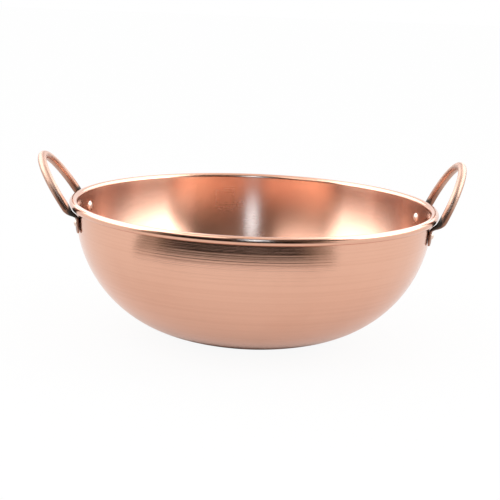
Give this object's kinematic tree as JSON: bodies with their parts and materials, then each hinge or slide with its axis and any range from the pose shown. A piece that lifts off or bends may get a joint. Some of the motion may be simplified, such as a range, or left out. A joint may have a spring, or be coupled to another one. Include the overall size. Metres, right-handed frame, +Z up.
{
  "type": "jam pan",
  "caption": "Wide round-bottomed copper preserving pan with a wired rolled rim and riveted loop handles leaning outward.",
  "frame": {"origin": "centre of the flat base, on the plane the pan stands on", "axes": "+Z up along the bowl's axis, X through both handles with handle_right on +X, -Y towards the viewer of the picture"},
  "size_m": [0.4388, 0.3798, 0.1908],
  "materials": {
    "bowl_copper": "satin",
    "wire_iron": "matte",
    "handle_copper": "satin",
    "rivet_copper": "satin"
  },
  "bodies": {
    "root": {"bowl": "bowl_copper", "rim_wire": "wire_iron", "handle_left": "handle_copper", "handle_right": "handle_copper", "rivet_left_front": "rivet_copper", "rivet_left_rear": "rivet_copper", "rivet_right_front": "rivet_copper", "rivet_right_rear": "rivet_copper"}
  },
  "joints": []
}
